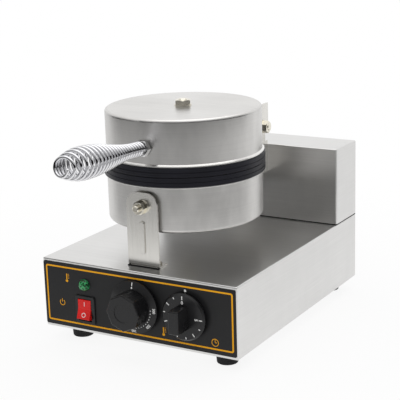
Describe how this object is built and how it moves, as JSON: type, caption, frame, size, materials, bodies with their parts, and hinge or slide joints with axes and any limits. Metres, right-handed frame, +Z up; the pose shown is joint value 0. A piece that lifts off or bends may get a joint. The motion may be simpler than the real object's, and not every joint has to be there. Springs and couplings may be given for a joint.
{
  "type": "waffle cone maker",
  "caption": "Electric countertop waffle cone maker: round hinged baking plates on a stainless box base with coil spring handle, thermostat, timer, rocker switch and pilot lamp.",
  "frame": {"origin": "on the standing plane under the middle of the whole part's box, handle included", "axes": "+X to the right seen from the control panel, +Y to the back, +Z up; the panel faces -Y"},
  "size_m": [0.25, 0.459, 0.2694],
  "materials": {
    "stainless": "brushed stainless sheet",
    "panel_black": "satin black printed plate",
    "plate_black": "cast, non-stick coated",
    "coil_chrome": "bright plated wire",
    "fixings": "nickel plated",
    "rubber": "moulded",
    "black_plastic": "fine grained",
    "red_plastic": "glossy",
    "green_lens": "translucent lens",
    "heater_steel": "heat darkened",
    "insulation": "pressed fibre",
    "bulb_brass": "drawn tube",
    "grey_plastic": "moulded"
  },
  "bodies": {
    "base": {"base_housing": "stainless", "base_plate": "stainless", "rear_housing": "stainless", "rear_cover": "stainless", "front_bracket": "stainless", "hinge_bracket": "stainless", "lower_shell": "stainless", "front_label": "panel_black", "lower_plate": "plate_black", "base_plate_screws": "fixings", "bolt_nuts": "fixings", "bolt_washers": "fixings", "bracket_bolt": "fixings", "bracket_foot_screws": "fixings", "bracket_spacer": "fixings", "control_screws": "fixings", "foot_nuts": "fixings", "foot_screws": "fixings", "hinge_bolt": "fixings", "hinge_bracket_bolts": "fixings", "hinge_flange_screws": "fixings", "hinge_tube": "fixings", "lower_nuts": "fixings", "lower_stud": "fixings", "lower_washer": "fixings", "rear_cover_screws": "fixings", "rubber_feet": "rubber", "switch_body": "black_plastic", "cable_gland": "black_plastic", "gland_nut": "black_plastic", "lamp_holder": "black_plastic", "lamp_lens": "green_lens", "lower_heater": "heater_steel", "lower_clamp": "heater_steel", "lower_insulation": "insulation", "thermostat_bulb": "bulb_brass", "thermostat_body": "grey_plastic", "timer_body": "grey_plastic", "terminal_block": "grey_plastic"},
    "lid": {"upper_shell": "stainless", "upper_plate": "plate_black", "upper_heater": "heater_steel", "upper_clamp": "heater_steel", "upper_insulation": "insulation", "upper_stud": "fixings", "upper_nuts": "fixings", "upper_washer": "fixings", "hinge_arm": "stainless", "hinge_arm_bolts": "fixings", "handle_rod": "fixings", "handle_nuts": "fixings", "handle_coil": "coil_chrome"},
    "rocker": {"switch_rocker": "red_plastic"},
    "thermostat_control": {"thermostat_knob": "black_plastic", "thermostat_shaft": "fixings"},
    "timer_control": {"timer_knob": "black_plastic", "timer_shaft": "fixings"}
  },
  "joints": [
    {"name": "lid_hinge", "type": "hinge", "parent": "base", "child": "lid", "pos_m": [0, 0.1413, 0.216], "axis": [-1, 0, 0], "range_deg": [0, 105]},
    {"name": "switch_rock", "type": "hinge", "parent": "base", "child": "rocker", "pos_m": [-0.068, -0.0949, 0.044], "axis": [1, 0, 0], "range_deg": [0, 22]},
    {"name": "thermostat_turn", "type": "hinge", "parent": "base", "child": "thermostat_control", "pos_m": [0, -0.0963, 0.059], "axis": [0, 1, 0], "range_deg": [0, 270]},
    {"name": "timer_turn", "type": "hinge", "parent": "base", "child": "timer_control", "pos_m": [0.0634, -0.0963, 0.058], "axis": [0, 1, 0], "range_deg": [0, 270]}
  ]
}
